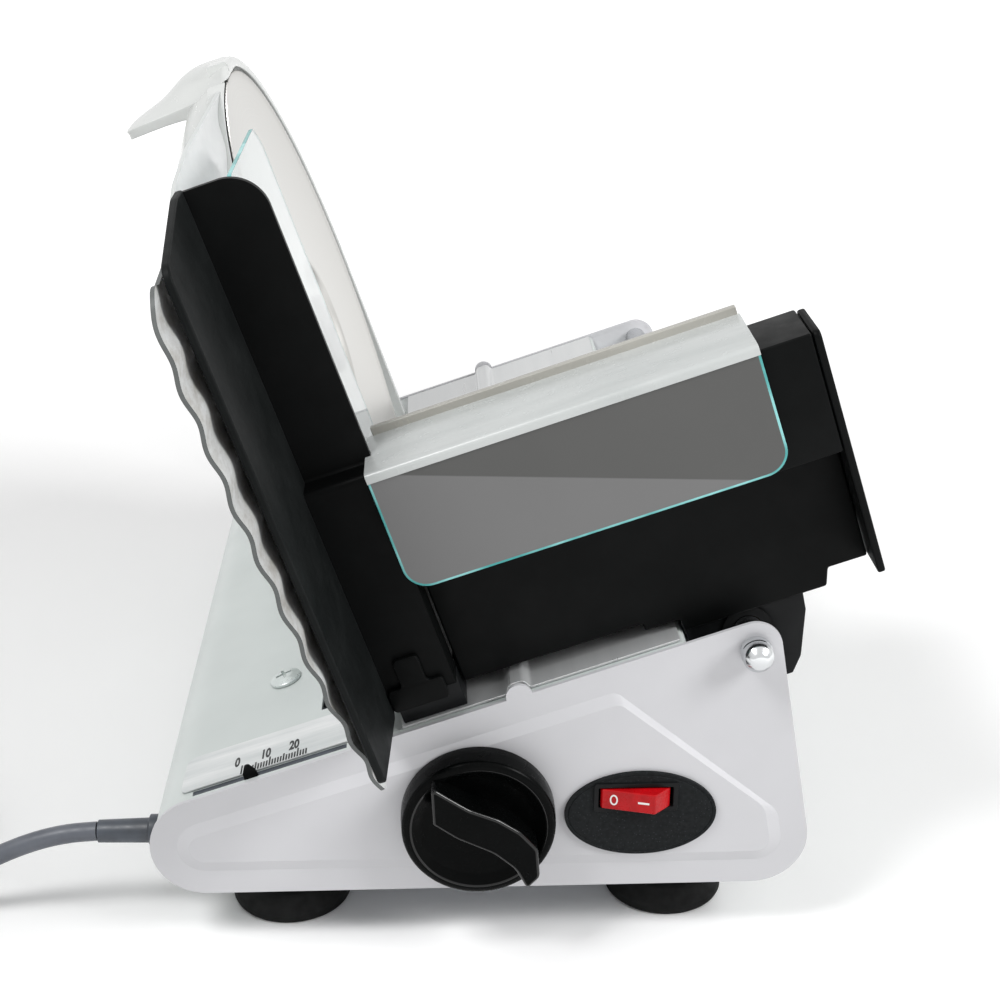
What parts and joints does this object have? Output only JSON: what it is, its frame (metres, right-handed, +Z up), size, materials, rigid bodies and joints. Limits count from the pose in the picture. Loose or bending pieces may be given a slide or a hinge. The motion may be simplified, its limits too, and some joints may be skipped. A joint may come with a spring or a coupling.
{
  "type": "electric meat slicer",
  "caption": "Electric meat slicer with a round blade, ribbed thickness fence, sliding black food carriage, clear pusher, knob and switch on a sloping white base.",
  "frame": {"origin": "on the table under the middle of the slicer without its cord", "axes": "+Z up, +Y from the operator's end panel to the far end, +X to the food side, up the base's slope"},
  "size_m": [0.4168, 0.3957, 0.2672],
  "materials": {
    "white_painted_steel": "satin",
    "white_moulded_plastic": "semi-gloss",
    "pale_scale_label": "matte",
    "black_moulded_plastic": "satin",
    "black_rubber": "matte",
    "dark_grey_plastic": "matte",
    "red_rocker_plastic": "gloss",
    "clear_acrylic": "clear",
    "polished_stainless_steel": "polished",
    "ribbed_aluminium": "satin",
    "zinc_plated_steel": "plated",
    "sintered_bronze": "dull",
    "gear_nylon": "matte",
    "grey_cord": "matte"
  },
  "bodies": {
    "base": {"front_panel": "white_painted_steel", "back_panel": "white_painted_steel", "top_cover": "white_painted_steel", "track_plate": "polished_stainless_steel", "scale_plate": "pale_scale_label", "bottom_plate": "zinc_plated_steel", "suction_foot_1": "black_rubber", "suction_foot_2": "black_rubber", "suction_foot_3": "black_rubber", "suction_foot_4": "black_rubber", "slide_rod": "polished_stainless_steel", "rod_nut_front": "polished_stainless_steel", "rod_nut_back": "polished_stainless_steel", "knob_bush": "sintered_bronze", "knob_bracket": "zinc_plated_steel", "bracket_screw_1": "zinc_plated_steel", "bracket_screw_2": "zinc_plated_steel", "switch_plate": "dark_grey_plastic", "switch_body": "dark_grey_plastic", "guide_rod_1": "zinc_plated_steel", "guide_rod_2": "zinc_plated_steel", "guide_hanger_left": "dark_grey_plastic", "guide_hanger_right": "dark_grey_plastic", "cover_screw": "zinc_plated_steel", "motor_can": "zinc_plated_steel", "motor_end_cap": "black_moulded_plastic", "motor_bracket": "zinc_plated_steel", "tower_housing": "white_moulded_plastic", "housing_front_plate": "white_painted_steel", "blade_bearing": "sintered_bronze", "blade_guard": "white_moulded_plastic", "cord_gland": "black_rubber", "cord_lead": "grey_cord", "cord_coil": "grey_cord", "cord_plug": "black_rubber"},
    "carriage": {"hand_guard": "black_moulded_plastic", "guard_clip": "black_moulded_plastic", "carriage_wall": "black_moulded_plastic", "carriage_end_plate": "black_moulded_plastic", "food_table": "black_moulded_plastic", "slide_shoe": "dark_grey_plastic", "slide_block_front": "dark_grey_plastic", "slide_block_rear": "dark_grey_plastic", "slide_bush_front": "sintered_bronze", "slide_bush_rear": "sintered_bronze"},
    "pusher": {"pusher_saddle": "clear_acrylic", "pusher_press_plate": "clear_acrylic"},
    "fence": {"fence_plate": "ribbed_aluminium", "fence_bracket": "zinc_plated_steel", "fence_slider": "dark_grey_plastic"},
    "knob": {"thickness_knob": "black_moulded_plastic", "knob_shaft": "zinc_plated_steel"},
    "pointer": {"thickness_pointer": "black_moulded_plastic"},
    "cutter": {"blade": "polished_stainless_steel", "blade_lock_knob": "black_moulded_plastic", "blade_shaft": "zinc_plated_steel", "worm_wheel": "gear_nylon"},
    "rotor": {"motor_rotor": "zinc_plated_steel"},
    "rocker": {"power_rocker": "red_rocker_plastic"}
  },
  "joints": [
    {"name": "carriage_slide", "type": "slide", "parent": "base", "child": "carriage", "axis": [0, 1, 0], "range_m": [0, 0.185]},
    {"name": "pusher_slide", "type": "slide", "parent": "carriage", "child": "pusher", "axis": [0.9455, 0, 0.3256], "range_m": [0, 0.1]},
    {"name": "fence_slide", "type": "slide", "parent": "base", "child": "fence", "axis": [-0.9455, 0, -0.3256], "range_m": [-0.002, 0.018]},
    {"name": "thickness_turn", "type": "hinge", "parent": "base", "child": "knob", "pos_m": [0.00068, -0.1401, 0.0511], "axis": [0, -1, 0], "range_deg": [-23, 206.5]},
    {"name": "pointer_slide", "type": "slide", "parent": "base", "child": "pointer", "axis": [0.9455, 0, 0.3256], "range_m": [-0.002, 0.018]},
    {"name": "blade_spin", "type": "hinge", "parent": "base", "child": "cutter", "pos_m": [-0.05268, 0.0499, 0.15771], "axis": [0.9455, 0, 0.3256], "continuous": true},
    {"name": "motor_spin", "type": "hinge", "parent": "base", "child": "rotor", "pos_m": [-0.07645, 0.0499, 0.11431], "axis": [0, 1, 0], "continuous": true},
    {"name": "rocker_tilt", "type": "hinge", "parent": "base", "child": "rocker", "pos_m": [0.05298, -0.1375, 0.0534], "axis": [0, 0, 1], "range_deg": [0, 18]}
  ],
  "couplings": [
    {"joint": "thickness_turn", "follows": "fence_slide", "rad_per_m": 200},
    {"joint": "pointer_slide", "follows": "fence_slide", "ratio": 1},
    {"joint": "motor_spin", "follows": "blade_spin", "ratio": -36}
  ]
}
